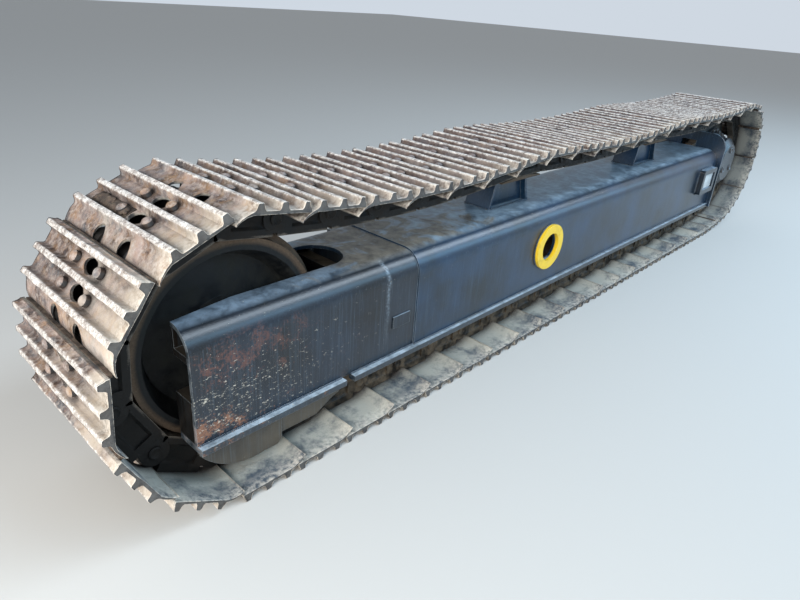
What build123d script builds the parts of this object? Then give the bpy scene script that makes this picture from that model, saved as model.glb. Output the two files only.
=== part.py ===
from build123d import *
from math import acos, atan2, cos, hypot, pi, sin, sqrt
import os

# A crawler track unit for a mobile screening plant, in millimetres. X runs from the idler to the
# drive end, the side that faces outwards is at -Y, and Z is up from the ground. The origin is on
# the ground, midway between the two wheel centres and in the middle of the shoes.

# Chain: pin to pin, and the heights of a link measured from its pin centre
pitch = 190.0
link_count = 51
link_seat = 54.0
link_rail = 50.0
link_inner = 67.0
link_width = 38.0
link_waist_place = 68.0
link_waist = 31.0
link_lip_side = 66.0
link_far_side = 50.0
bushing_radius = 30.0
bushing_sides = 6

# Track shoe, pressed with three grousers and a lip that curls in under the next shoe
shoe_width = 500.0
shoe_plate = 11.0
grouser_height = 20.0
grouser_base = 26.0
grouser_tip = 17.0
grouser_places = (76.0, 8.0, -61.0)
lip_reach = 48.0
lip_drop = 29.0
lip_tip = 6.0

# Wheels
running_gap = 0.3
sprocket_teeth = 21
sprocket_rim = 44.0
sprocket_lift = 28.0
bushing_play = 3.0
tooth_crown = 12.0
tooth_root = 14.0
idler_tread_radius = 288.0
idler_guide_radius = 308.0
idler_tread_width = 174.0
idler_guide_width = 118.0
idler_hub_radius = 78.0
idler_hub_width = 188.0
idler_web = 46.0
web_dish = 14.0
hub_taper = 34.0
rim_depth = 34.0
rim_taper = 30.0
guide_taper = 5.0
roller_count = 9
first_roller_place = 418.0
last_roller_place = 420.0
roller_tread_radius = 76.0
roller_flange_radius = 93.0
roller_body_radius = 62.0
roller_flange = 12.0
roller_play = 3.0
roller_shaft_radius = 25.0
collar_length = 104.0
collar_foot = 56.0
collar_drop = 44.0
collar_inset = 14.0

# Slack of the top run in its three spans, and the skids that carry it, from the idler centre
span_sags = (40.0, 22.0, 19.0)
skid_places = (1330.0, 2648.0)
skid_levels = (737.0, 742.0)
skid_length = 270.0
skid_width = 210.0
skid_thickness = 14.0
skid_crown = 9.0
pedestal_foot = 274.0
pedestal_head = 214.0
pedestal_width = 120.0
pedestal_wall = 12.0
pedestal_recess = 24.0
pedestal_web = 10.0

# Pressed frame: one deep inverted channel, with a lighter nose in front of it
frame_wall = 12.0
beam_width = 400.0
beam_top = 557.0
beam_bottom = 217.0
beam_bend = 78.0
nose_inset = 5.0
nose_bend = 72.0
nose_tip = 184.0
splice_place = 637.0
idler_slot = 178.0
idler_slot_end = 447.0
slot_mouth = 232.0
slot_mouth_length = 185.0
arch_place = 309.0
arch_thickness = 16.0
arch_half_width = 229.0
arch_top = 654.0
arch_bend = 92.0
sprocket_slot = 96.0
sprocket_slot_top = 595.0

# Chain guards, bars and brackets on the frame
bar_projection = 22.0
bar_thickness = 19.0
bar_gap_start = 312.0
bar_gap_end = 345.0
nose_floor_width = 109.0
roller_bar_width = 60.0
roller_bar_thickness = 22.0
roller_bar_rise = 5.0
guard_thickness = 12.0
guard_inset = 4.0
keel_toe = 6.0
keel_toe_depth = 16.0
keel_length = 266.0
keel_depth = 108.0
keel_flat = 62.0
keel_corner = 16.0
guide_gap = 4.0
chain_guide_depth = 84.0
chain_guide_tail = 92.0
chain_guide_nose = 30.0
chain_guide_rise = 34.0
chain_guide_step = 10.0
patch_place = 32.0
patch_length = 80.0
patch_height = 315.0
patch_rise = 42.0
patch_thickness = 4.0

# Ring round the access hole, from the idler centre
ring_place = 1461.0
ring_height = 386.0
ring_outer = 98.0
ring_bore = 60.0
ring_thickness = 16.0
access_cut = 60.0

# Guard frame round a blank plate at the drive end, from the sprocket centre
guard_place = 483.0
guard_height = 393.0
guard_length = 216.0
guard_rise = 150.0
guard_bar = 28.0
guard_depth = 32.0
guard_corner = 14.0

# Idler slide: the axle ends and the yoke bars run between an upper and a lower guide
slide_bottom = 347.0
slide_height = 113.0
guide_inner = 108.0
guide_end = 303.0
axle_radius = 38.0
axle_end_length = 120.0
slide_play = 3.0
yoke_bar_width = 44.0
yoke_bar_height = 88.0
yoke_head_place = 428.0
yoke_head_length = 50.0
yoke_head_drop = 92.0
yoke_head_rise = 62.0
tensioner_radius = 52.0
tensioner_length = 210.0
recoil_radius = 88.0
recoil_length = 430.0
abutment_thickness = 25.0
abutment_drop = 95.0
abutment_rise = 50.0

# Drive
hub_radius = 205.0
hub_reach = 178.0
cover_radius = 118.0
cover_taper = 30.0
cap_radius = 156.0
cover_seat = 82.0
ring_gear_radius = 182.0
flange_seat = 42.0
case_radius = 170.0
case_flange = 18.0
drive_plate_inner = 112.0
drive_plate_thickness = 25.0
drive_plate_radius = 225.0
gusset_length = 150.0
gusset_rise = 120.0
gusset_foot = 60.0
gusset_thickness = 18.0
motor_radius = 92.0
motor_length = 104.0
motor_flange_radius = 120.0
motor_flange_thickness = 16.0
port_length = 124.0
port_place = 30.0
port_overlap = 22.0
port_rise = 42.0

# Inboard stubs and flanges that bolt to the chassis, from the idler centre
mount_places = (883.0, 2923.0)
stub_length = 300.0
stub_height = 230.0
stub_wall = 14.0
stub_reach = 55.0
flange_length = 460.0
flange_height = 290.0
flange_thickness = 30.0
flange_bolt_x = 380.0
flange_bolt_z = 200.0
flange_hole_radius = 13.5

# Heights and radii that follow from the sizes above
pin_height = grouser_height + shoe_plate + link_seat
rail_height = pin_height + link_rail
link_outer = link_inner + link_width
beam_half = beam_width / 2
idler_flat = idler_tread_radius + running_gap + link_rail
idler_radius = hypot(idler_flat, pitch / 2)
idler_z = pin_height + idler_flat
sprocket_radius = pitch / (2 * sin(pi / (sprocket_teeth / 2)))
sprocket_z = pin_height + sprocket_lift + sprocket_radius


def top_run(x, distance):
    """Height of the pin line above a station: it hangs between the wheels and the two skids."""
    hold = skid_length / 3
    stations = [0.0]
    levels = [idler_z + idler_flat]
    for place, level in zip(skid_places, skid_levels):
        stations += [place - hold, place + hold]
        levels += [level, level]
    stations.append(distance)
    levels.append(sprocket_z + sprocket_radius)
    sags = (span_sags[0], 0.0, span_sags[1], 0.0, span_sags[2])
    height = levels[-1]
    for start, end, low, high, sag in zip(stations, stations[1:], levels, levels[1:], sags):
        share = (x + distance / 2 - start) / (end - start)
        if 0 <= share < 1:
            height = low + (high - low) * share - 4 * sag * share * (1 - share)
    return height


def bottom_run(x, distance):
    """Height of the pin line below: level under the rollers, then up to the sprocket."""
    rise_length = last_roller_place - pitch
    return pin_height + sprocket_lift * max(x - distance / 2 + rise_length, 0.0) / rise_length


def step_along(x, z, way, height, distance):
    """Next pin along a run, one pitch from the last."""
    reach = pitch
    for _ in range(12):
        rise = height(x + way * reach, distance) - z
        reach = sqrt(pitch ** 2 - rise ** 2)
    return x + way * reach, height(x + way * reach, distance)


def step_round(x, z, centre_x, centre_z, radius):
    """Next pin round a wheel, one pitch from the last and clockwise seen from outside."""
    away = hypot(x - centre_x, z - centre_z)
    turn = atan2(z - centre_z, x - centre_x)
    turn -= acos((radius ** 2 + away ** 2 - pitch ** 2) / (2 * radius * away))
    return centre_x + radius * cos(turn), centre_z + radius * sin(turn)


def walk_chain(distance):
    """Pins round the whole loop, from the far end of the link that lies flat under the idler."""
    front, rear = -distance / 2, distance / 2
    x, z = front - pitch / 2, pin_height
    places = []
    stage = 0
    while len(places) < link_count:
        places.append((x, z))
        if stage == 0:
            ahead = step_round(x, z, front, idler_z, idler_radius)
            if ahead[0] > front:
                leaving = step_along(x, z, 1, top_run, distance)
                if hypot(leaving[0] - front, leaving[1] - idler_z) > idler_radius:
                    stage = 1
        if stage == 1:
            ahead = step_along(x, z, 1, top_run, distance)
            if ahead[0] > rear or hypot(ahead[0] - rear, ahead[1] - sprocket_z) < sprocket_radius:
                stage = 2
        if stage == 2:
            ahead = step_round(x, z, rear, sprocket_z, sprocket_radius)
            if ahead[0] < rear and ahead[1] < sprocket_z:
                stage = 3
        if stage == 3:
            ahead = step_along(x, z, -1, bottom_run, distance)
        x, z = ahead
    return places


# The tensioner sets the wheel distance at which the last link closes the loop
wheel_distance = (link_count * pitch - pi * (sprocket_radius + idler_radius)) / 2
for _ in range(20):
    pins = walk_chain(wheel_distance)
    gap_x = sqrt(pitch ** 2 - (pins[0][1] - pins[-1][1]) ** 2)
    wheel_distance -= (pins[-1][0] - pins[0][0] - gap_x) / 2
idler_x = -wheel_distance / 2
sprocket_x = wheel_distance / 2
splice_x = idler_x + splice_place
arch_x = sprocket_x - arch_place
beam_end = arch_x - arch_thickness
tip_x = idler_x - nose_tip
slide_top = slide_bottom + slide_height
roller_z = rail_height + roller_tread_radius + running_gap
roller_bar_height = roller_z + roller_flange_radius + roller_bar_rise - collar_drop
first_roller = idler_x + first_roller_place
last_roller = sprocket_x - last_roller_place
roller_step = (last_roller - first_roller) / (roller_count - 1)
roller_places = [first_roller + index * roller_step for index in range(roller_count)]


def box(x0, x1, y0, y1, z0, z1):
    """Block between two corners."""
    return Pos((x0 + x1) / 2, (y0 + y1) / 2, (z0 + z1) / 2) * Box(x1 - x0, y1 - y0, z1 - z0)


def mirrored(shape):
    """The piece on the other side of the middle plane."""
    return mirror(shape, Plane.XZ)


def turned(profile, x, z):
    """Solid turned about a cross axis from (distance out, radius) points."""
    outline = Polygon(*[(radius, out) for out, radius in profile], align=None)
    solid = revolve(outline, Axis.Y)
    return Pos(x, 0, z) * solid


def flat_plate(points, y0, y1):
    """Plate cut to (x, z) points, between two distances from the middle plane."""
    outline = Plane.XZ * Polygon(*points, align=None)
    return Pos(0, y1, 0) * extrude(outline, y1 - y0, dir=(0, -1, 0))


def channel(half_width, top, bend, x0, x1):
    """Inverted pressed channel between two stations, with its bends rounded."""
    blank = box(x0, x1, -half_width, half_width, beam_bottom, top)
    along = blank.edges().filter_by(Axis.X).group_by(Axis.Z)[-1]
    blank = fillet(along, bend)
    inside = box(x0 - 1, x1 + 1, frame_wall - half_width, half_width - frame_wall, beam_bottom - 1, top - frame_wall)
    along = inside.edges().filter_by(Axis.X).group_by(Axis.Z)[-1]
    return blank - fillet(along, bend - frame_wall)


def beside_pins(reach):
    """Points beside the pins, where lines at one distance from the links meet; outwards is positive."""
    points = []
    for (ax, az), (bx, bz), (cx, cz) in zip(pins[-1:] + pins[:-1], pins, pins[1:] + pins[:1]):
        out_x = (az - cz) / pitch
        out_z = (cx - ax) / pitch
        share = 2 * reach / (out_x ** 2 + out_z ** 2)
        points.append((bx + share * out_x, bz + share * out_z))
    return points


def link_strand(y0, y1):
    """One strand of links: a flat seat for each shoe, a waist under the next lip and the rail inside."""
    outline = []
    for (ax, az), (bx, bz) in zip(pins, pins[1:] + pins[:1]):
        along_x = (bx - ax) / pitch
        along_z = (bz - az) / pitch
        for along, out in ((-link_lip_side, link_seat), (link_far_side, link_seat), (link_waist_place, link_waist)):
            outline.append(((ax + bx) / 2 + along * along_x - out * along_z,
                            (az + bz) / 2 + along * along_z + out * along_x))
    ring = Polygon(*outline, align=None) - Polygon(*beside_pins(-link_rail), align=None)
    return Pos(0, y1, 0) * extrude(Plane.XZ * ring, y1 - y0, dir=(0, -1, 0))


def shoe_outline():
    """Shoe with three grousers and a lip, as points along and out from the middle of a link."""
    face = link_seat + shoe_plate
    base = grouser_base / 2
    tip = grouser_tip / 2
    outline = [(grouser_places[0] + base, link_seat)]
    for place in grouser_places:
        outline.append((place + base, face))
        outline.append((place + tip, face + grouser_height))
        outline.append((place - tip, face + grouser_height))
        outline.append((place - base, face))
    bend = grouser_places[-1] - base
    outline.pop(1)
    outline.append((bend - lip_reach, face - lip_drop))
    outline.append((bend + lip_tip, link_seat))
    return outline


def track_loop():
    """Shoes on two strands of links, with the bushings that the sprocket drives."""
    shoe = extrude(Polygon(*shoe_outline(), align=None), shoe_width / 2, both=True)
    bushing = Pos(-pitch / 2, 0, 0) * extrude(RegularPolygon(bushing_radius, bushing_sides), link_inner, both=True)
    pieces = [link_strand(link_inner, link_outer)]
    for (x0, z0), (x1, z1) in zip(pins, pins[1:] + pins[:1]):
        place = Plane(origin=((x0 + x1) / 2, 0, (z0 + z1) / 2), x_dir=(x1 - x0, 0, z1 - z0), z_dir=(0, -1, 0))
        pieces += [place.location * shoe, place.location * bushing]
    return link_strand(-link_outer, -link_inner).fuse(*pieces)


def main_beam():
    """Deep pressed channel from the splice to the drive arch, with its access hole."""
    beam = channel(beam_half, beam_top, beam_bend, splice_x, beam_end)
    hole = Pos(idler_x + ring_place, -beam_half, ring_height) * Rot(90, 0, 0) * Cylinder(ring_bore, access_cut)
    return beam - hole


def nose():
    """Lighter pressed channel round the idler, slotted from its tip with a flared mouth."""
    half = beam_half - nose_inset
    top = beam_top - nose_inset
    shell = channel(half, top, nose_bend, tip_x, splice_x)
    centre = idler_x + idler_slot_end - idler_slot / 2
    mouth = slot_mouth / 2
    side = idler_slot / 2
    flare = tip_x + slot_mouth_length
    outline = Polygon((tip_x, -mouth), (flare, -side), (centre, -side), (centre, side), (flare, side),
                      (tip_x, mouth), align=None)
    slot = extrude(outline + Pos(centre, 0) * Circle(side), 2 * frame_wall)
    return shell - Pos(0, 0, top - 1.5 * frame_wall) * slot


def nose_floors():
    """Bottom plates of the two nose arms, which stand out as a bar on the outer side."""
    half = beam_half - nose_inset
    floor = box(tip_x, idler_x + bar_gap_start, -half - bar_projection, -half + nose_floor_width - bar_projection,
                beam_bottom - bar_thickness, beam_bottom)
    return floor + mirrored(floor)


def chain_bars():
    """Long bars along the lower edges of the frame behind the nose floors."""
    start = idler_x + bar_gap_end
    bar = box(start, beam_end, -beam_half - bar_projection + nose_inset, -beam_half + frame_wall,
              beam_bottom - bar_thickness, beam_bottom)
    return bar + mirrored(bar)


def roller_bars():
    """Bars inside the frame that the rollers bolt to."""
    wall = beam_half - frame_wall
    bar = box(splice_x, beam_end, -wall, -wall + roller_bar_width, roller_bar_height,
              roller_bar_height + roller_bar_thickness)
    front = box(idler_x + bar_gap_end, splice_x, -wall + nose_inset, -wall + roller_bar_width, roller_bar_height,
                roller_bar_height + roller_bar_thickness)
    bar += front
    return bar + mirrored(bar)


def drive_arch():
    """Plate across the drive end of the beam, slotted for the sprocket."""
    blank = box(beam_end, arch_x, -arch_half_width, arch_half_width, beam_bottom - bar_thickness, arch_top)
    along = blank.edges().filter_by(Axis.X).group_by(Axis.Z)[-1]
    half = sprocket_slot / 2
    slot = box(beam_end - 1, arch_x + 1, -half, half, beam_bottom - bar_thickness - 1, sprocket_slot_top)
    return fillet(along, arch_bend) - slot


def drive_plate():
    """Inboard plate that reaches back from the arch and carries the final drive."""
    y0 = drive_plate_inner
    y1 = y0 + drive_plate_thickness
    root = flat_plate(
        [(arch_x, beam_bottom), (sprocket_x, sprocket_z - drive_plate_radius),
         (sprocket_x, sprocket_z + drive_plate_radius), (arch_x, arch_top - arch_bend)], y0, y1,
    )
    eye = Pos(sprocket_x, (y0 + y1) / 2, sprocket_z) * Rot(90, 0, 0) * Cylinder(drive_plate_radius, y1 - y0)
    end = arch_x + gusset_length
    low = sprocket_z - gusset_rise / 2
    high = sprocket_z + gusset_rise / 2
    gusset = flat_plate([(arch_x, beam_bottom + gusset_foot), (end, low), (end, high),
                         (arch_x, high + gusset_foot)], y1, y1 + gusset_thickness)
    return root + eye + gusset


def sprocket():
    """Toothed ring; the bushings sit in every second gap between the teeth."""
    step = 2 * pi / sprocket_teeth
    seated = min(pins, key=lambda pin: hypot(pin[0] - sprocket_x - sprocket_radius, pin[1] - sprocket_z))
    phase = atan2(seated[1] - sprocket_z, seated[0] - sprocket_x)
    floor = sprocket_radius - bushing_radius - bushing_play
    crown = sprocket_radius + tooth_crown
    outline = []
    for tooth in range(sprocket_teeth):
        middle = phase + tooth * step
        for turn, radius in ((-0.30, floor + tooth_root), (-0.15, floor), (0.15, floor),
                             (0.30, floor + tooth_root), (0.44, crown), (0.56, crown)):
            angle = middle + turn * step
            outline.append((sprocket_x + radius * cos(angle), sprocket_z + radius * sin(angle)))
    ring = flat_plate(outline, -sprocket_rim / 2, sprocket_rim / 2)
    bore = Pos(sprocket_x, 0, sprocket_z) * Rot(90, 0, 0) * Cylinder(case_radius, sprocket_rim + 2)
    return ring - bore


def final_drive():
    """Planetary hub: the stepped cover outside, the bolted flange on the sprocket and the fixed case."""
    seat = sprocket_rim / 2
    case = turned(
        [(-hub_reach, 0), (-hub_reach, cover_radius), (-hub_reach + cover_taper, cap_radius),
         (-cover_seat, cap_radius), (-cover_seat, ring_gear_radius), (-flange_seat, ring_gear_radius),
         (-flange_seat, hub_radius), (-seat, hub_radius), (-seat, case_radius),
         (drive_plate_inner - case_flange, case_radius), (drive_plate_inner - case_flange, hub_radius),
         (drive_plate_inner, hub_radius), (drive_plate_inner, 0)], sprocket_x, sprocket_z,
    )
    return case


def travel_motor():
    """Hydraulic motor on the inboard side of the drive plate, with its port block."""
    y0 = drive_plate_inner + drive_plate_thickness
    flange = y0 + motor_flange_thickness
    end = y0 + motor_length
    body = turned([(y0, 0), (y0, motor_flange_radius), (flange, motor_flange_radius), (flange, motor_radius),
                   (end, motor_radius), (end, 0)], sprocket_x, sprocket_z)
    ports = box(sprocket_x - port_length / 2, sprocket_x + port_length / 2, y0 + port_place, end,
                sprocket_z + motor_radius - port_overlap, sprocket_z + motor_radius + port_rise)
    return body + ports


def idler():
    """Front wheel: rim with a guide rib between two treads, dished webs and a hub."""
    tread = idler_tread_width / 2
    guide = idler_guide_width / 2
    hub = idler_hub_width / 2
    web = idler_web / 2
    right = [(hub, axle_radius), (hub, idler_hub_radius), (web + web_dish, idler_hub_radius + hub_taper),
             (web, idler_tread_radius - rim_depth - rim_taper), (tread, idler_tread_radius - rim_depth),
             (tread, idler_tread_radius), (guide, idler_tread_radius), (guide - guide_taper, idler_guide_radius)]
    left = [(-out, radius) for out, radius in reversed(right)]
    return turned(right + left, idler_x, idler_z)


def idler_axle():
    """Cross shaft with flat-sided ends that slide between the guides."""
    flat = idler_hub_width / 2 + 1
    end = beam_half - nose_inset - frame_wall - slide_play
    shaft = Pos(idler_x, 0, idler_z) * Rot(90, 0, 0) * Cylinder(axle_radius - running_gap, 2 * flat)
    reach = axle_end_length / 2
    block = box(idler_x - reach, idler_x + reach, -end, -flat, slide_bottom + running_gap, slide_top - running_gap)
    return shaft + block + mirrored(block)


def idler_guides():
    """Upper and lower guides in each nose arm, flush with its tip and open for the axle ends."""
    wall = beam_half - nose_inset - frame_wall
    top = beam_top - nose_inset - frame_wall
    bend = nose_bend - frame_wall
    back = idler_x + guide_end
    upper = box(tip_x, back, -wall + bend, -slot_mouth / 2, slide_top, top)
    upper += box(tip_x, back, -wall, -wall + bend, slide_top, top - bend)
    lower = box(tip_x, back, -wall, -guide_inner, beam_bottom, slide_bottom)
    guides = upper + lower
    return guides + mirrored(guides)


def tension_yoke():
    """Fork behind the idler: two bars on the lower guides and the head that the tensioner pushes."""
    outer = beam_half - nose_inset - frame_wall - slide_play
    low = slide_bottom + running_gap
    head = idler_x + yoke_head_place
    bar = box(idler_x + axle_end_length / 2, head, -outer, -outer + yoke_bar_width, low, low + yoke_bar_height)
    cross = box(head, head + yoke_head_length, -outer, outer, idler_z - yoke_head_drop, idler_z + yoke_head_rise)
    return bar + mirrored(bar) + cross


def tensioner():
    """Grease cylinder and recoil canister between the yoke and the abutment."""
    start = idler_x + yoke_head_place + yoke_head_length
    middle = start + tensioner_length
    end = middle + recoil_length
    along = Rot(0, 90, 0)
    cylinder = Pos((start + middle) / 2, 0, idler_z) * along * Cylinder(tensioner_radius, tensioner_length)
    canister = Pos((middle + end) / 2, 0, idler_z) * along * Cylinder(recoil_radius, recoil_length)
    return cylinder + canister


def abutment():
    """Plate across the beam that the recoil canister bears on."""
    wall = beam_half - frame_wall
    x0 = idler_x + yoke_head_place + yoke_head_length + tensioner_length + recoil_length
    return box(x0, x0 + abutment_thickness, -wall, wall, idler_z - abutment_drop, idler_z + abutment_rise)


def bottom_rollers():
    """Flanged rollers on the lower run."""
    tread = link_outer + roller_play
    rim = tread + roller_flange
    half = [(tread, roller_tread_radius), (tread, roller_flange_radius), (rim, roller_flange_radius),
            (rim, roller_shaft_radius)]
    left = [(-out, radius) for out, radius in reversed(half)]
    solids = [turned(left + half, x, roller_z) for x in roller_places]
    return Compound(children=solids)


def roller_shafts():
    """Fixed shaft of each roller and the tapered collars that hang it from the bars."""
    inner = link_outer + roller_play + roller_flange + running_gap
    outer = beam_half - frame_wall - collar_inset
    half = collar_length / 2
    foot = collar_foot / 2
    solids = []
    for x in roller_places:
        shaft = Pos(x, 0, roller_z) * Rot(90, 0, 0) * Cylinder(roller_shaft_radius - running_gap, 2 * outer)
        collar = flat_plate(
            [(x - half, roller_bar_height), (x - half, roller_z), (x - foot, roller_z - collar_drop),
             (x + foot, roller_z - collar_drop), (x + half, roller_z), (x + half, roller_bar_height)],
            -outer, -inner,
        )
        solids.append(shaft + collar + mirrored(collar))
    return Compound(children=solids)


def skid_top(place):
    """Height of a skid's crown: just under the lowest point of the rails above it."""
    crown = (idler_x + place - skid_length / 6, idler_x + place + skid_length / 6)
    rails = [point for point in beside_pins(-link_rail) if point[1] > idler_z]
    heights = [z for x, z in rails if crown[0] < x < crown[1]]
    for (ax, az), (bx, bz) in zip(rails, rails[1:]):
        heights += [az + (bz - az) * (x - ax) / (bx - ax) for x in crown if ax < x < bx]
    return min(heights) - running_gap


def skid_pedestals():
    """Stands on the beam under the two skids: leaning end plates joined by two webs."""
    solids = []
    for place in skid_places:
        x = idler_x + place
        foot = pedestal_foot / 2
        head = pedestal_head / 2
        half = pedestal_width / 2
        web = half - pedestal_recess
        top = skid_top(place) - skid_thickness
        stand = [(x - foot, beam_top), (x + foot, beam_top), (x + head, top), (x - head, top)]
        foot -= pedestal_wall
        head -= pedestal_wall
        bay = [(x - foot, beam_top), (x + foot, beam_top), (x + head, top), (x - head, top)]
        recess = flat_plate(bay, web, half)
        core = flat_plate(bay, pedestal_web - web, web - pedestal_web)
        solids.append(flat_plate(stand, -half, half) - recess - mirrored(recess) - core)
    return Compound(children=solids)


def skids():
    """Crowned wear plates that the rails of the top run slide on."""
    solids = []
    for place in skid_places:
        x = idler_x + place
        top = skid_top(place)
        reach = skid_length / 2
        flat = skid_length / 6
        low = top - skid_thickness
        outline = [(x - reach, low), (x + reach, low), (x + reach, top - skid_crown), (x + flat, top),
                   (x - flat, top), (x - reach, top - skid_crown)]
        solids.append(flat_plate(outline, -skid_width / 2, skid_width / 2))
    return Compound(children=solids)


def access_ring():
    """Raised ring round the access hole."""
    ring = Cylinder(ring_outer, ring_thickness) - Cylinder(ring_bore, ring_thickness + 2)
    return Pos(idler_x + ring_place, -beam_half - ring_thickness / 2, ring_height) * Rot(90, 0, 0) * ring


def plate_guard():
    """Welded frame round the blank plate near the drive end."""
    x = sprocket_x - guard_place
    half = guard_length / 2
    low = guard_height - guard_rise / 2
    high = guard_height + guard_rise / 2
    bar = guard_bar
    frame = box(x - half, x + half, -beam_half - guard_depth, -beam_half, low, high)
    frame = fillet(frame.edges().filter_by(Axis.Y), guard_corner)
    return frame - box(x - half + bar, x + half - bar, -beam_half - guard_depth - 1, -beam_half + 1,
                       low + bar, high - bar)


def blank_plate():
    """Plain pale plate inside its guard."""
    x = sprocket_x - guard_place
    half = guard_length / 2 - guard_bar - 1
    rise = guard_rise / 2 - guard_bar - 1
    return box(x - half, x + half, -beam_half - 3, -beam_half, guard_height - rise, guard_height + rise)


def front_guard():
    """Guard with a swept keel under each side of the nose, and the straight chain guide behind it."""
    y0 = -beam_half + nose_inset + guard_inset
    top = beam_bottom - bar_thickness
    toe = tip_x + keel_toe
    heel = tip_x + keel_length
    low = top - keel_depth
    sweep = ThreePointArc((toe, top - keel_toe_depth), ((toe + heel) / 2 - keel_flat, low + keel_depth / 4),
                          (heel - keel_flat, low))
    sides = Polyline((heel - keel_flat, low), (heel - keel_corner, low), (heel, low + keel_corner), (heel, top),
                     (toe, top), (toe, top - keel_toe_depth))
    keel = Pos(0, y0 + guard_thickness, 0) * extrude(Plane.XZ * make_face([sweep, sides]), guard_thickness,
                                                     dir=(0, -1, 0))
    start = heel + guide_gap
    end = idler_x + bar_gap_start
    deep = top - chain_guide_depth
    lift = deep + chain_guide_rise
    outline = [(start, top), (start, deep), (end - chain_guide_tail, deep), (end - chain_guide_nose, lift),
               (end, lift + chain_guide_step), (end, top)]
    guide = flat_plate(outline, y0 + guard_thickness, y0 + 2 * guard_thickness)
    pair = keel + guide
    return pair + mirrored(pair)


def splice_patch():
    """Small plate welded beside the splice."""
    y1 = -beam_half + nose_inset
    x1 = splice_x - patch_place
    return box(x1 - patch_length, x1, y1 - patch_thickness, y1, patch_height, patch_height + patch_rise)


def chassis_mount(place):
    """Box stub on the inboard side of the beam, with the flange that bolts to the machine."""
    x = idler_x + place
    z = (beam_bottom + beam_top - beam_bend) / 2
    face = beam_half + stub_reach
    stub = box(x - stub_length / 2, x + stub_length / 2, beam_half, face, z - stub_height / 2, z + stub_height / 2)
    reach = stub_length / 2 - stub_wall
    rise = stub_height / 2 - stub_wall
    stub -= box(x - reach, x + reach, beam_half - 1, face + 1, z - rise, z + rise)
    flange = box(x - flange_length / 2, x + flange_length / 2, face, face + flange_thickness,
                 z - flange_height / 2, z + flange_height / 2)
    for side in (-1, 1):
        for level in (-1, 1):
            hole = Rot(90, 0, 0) * Cylinder(flange_hole_radius, 3 * flange_thickness)
            flange -= Pos(x + side * flange_bolt_x / 2, face, z + level * flange_bolt_z / 2) * hole
    return stub + flange


def front_mount():
    """Forward chassis mount."""
    return chassis_mount(mount_places[0])


def rear_mount():
    """Rear chassis mount."""
    return chassis_mount(mount_places[1])


parts = {
    "track_loop": track_loop,
    "main_beam": main_beam,
    "nose": nose,
    "nose_floors": nose_floors,
    "chain_bars": chain_bars,
    "roller_bars": roller_bars,
    "drive_arch": drive_arch,
    "drive_plate": drive_plate,
    "sprocket": sprocket,
    "final_drive": final_drive,
    "travel_motor": travel_motor,
    "idler": idler,
    "idler_axle": idler_axle,
    "idler_guides": idler_guides,
    "tension_yoke": tension_yoke,
    "tensioner": tensioner,
    "abutment": abutment,
    "bottom_rollers": bottom_rollers,
    "roller_shafts": roller_shafts,
    "skid_pedestals": skid_pedestals,
    "skids": skids,
    "access_ring": access_ring,
    "plate_guard": plate_guard,
    "blank_plate": blank_plate,
    "front_guard": front_guard,
    "splice_patch": splice_patch,
    "front_mount": front_mount,
    "rear_mount": rear_mount,
}

if __name__ == "__main__":
    os.makedirs("parts", exist_ok=True)
    print("wheel distance", round(wheel_distance, 2))
    for name, make in parts.items():
        export_step(make(), f"parts/{name}.step")
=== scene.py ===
import random
import bpy
from math import cos, pi, radians, sin
from mathutils import Matrix, Vector


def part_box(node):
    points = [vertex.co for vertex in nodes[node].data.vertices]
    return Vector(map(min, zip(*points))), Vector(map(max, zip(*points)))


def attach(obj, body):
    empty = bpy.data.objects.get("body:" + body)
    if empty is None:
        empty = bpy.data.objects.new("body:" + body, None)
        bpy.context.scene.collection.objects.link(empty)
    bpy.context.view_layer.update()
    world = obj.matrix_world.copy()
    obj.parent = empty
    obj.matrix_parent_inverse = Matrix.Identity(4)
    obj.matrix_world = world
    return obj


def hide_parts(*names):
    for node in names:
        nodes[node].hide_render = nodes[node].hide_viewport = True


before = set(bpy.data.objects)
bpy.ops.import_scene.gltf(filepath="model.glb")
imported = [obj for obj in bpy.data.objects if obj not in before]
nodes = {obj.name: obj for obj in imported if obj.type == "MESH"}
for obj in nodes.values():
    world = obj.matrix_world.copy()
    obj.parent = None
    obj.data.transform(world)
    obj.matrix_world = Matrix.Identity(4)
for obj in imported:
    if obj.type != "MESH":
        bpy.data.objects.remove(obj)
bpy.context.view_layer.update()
bpy.ops.object.select_all(action="DESELECT")


# Viewpoint and studio
# The unit is seen from chest height, off the idler's outer corner, through a short lens. It
# stands on a plain pale floor. A broad cool lamp hangs over it, a long blue one shines along
# the bends of the frame, and a warm one lights the shoes that climb round the idler.
bpy.ops.object.camera_add(
    location=(-2.6791, -1.3837, 1.2855),
    rotation=(radians(63.865), radians(-3.763), radians(-46.467)),
)
camera = bpy.context.object
camera.data.sensor_width = 36.0
camera.data.lens = 27.64
camera.data.clip_start = 0.05
bpy.context.scene.camera = camera
bpy.context.scene.view_settings.view_transform = "Standard"


def linear(code):
    """Linear colour of an sRGB hex value."""
    shares = [int(code[place:place + 2], 16) / 255 for place in (0, 2, 4)]
    return [share / 12.92 if share < 0.04045 else ((share + 0.055) / 1.055) ** 2.4
            for share in shares] + [1.0]


def connect(tree, node, sockets):
    """Fills or links a node's inputs. A node given as a value stands for its first live output."""
    for name, value in sockets.items():
        if isinstance(value, bpy.types.Node):
            value = next(output for output in value.outputs if output.enabled)
        if isinstance(value, bpy.types.NodeSocket):
            tree.links.new(value, node.inputs[name])
        else:
            node.inputs[name].default_value = value


def add(tree, kind, sockets=None, **settings):
    """Adds a node with its options and inputs. A Mix takes its share at 0, its colours at 6 and 7."""
    node = tree.nodes.new("ShaderNode" + kind)
    for name, value in settings.items():
        setattr(node, name, value)
    connect(tree, node, sockets or {})
    return node


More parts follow.
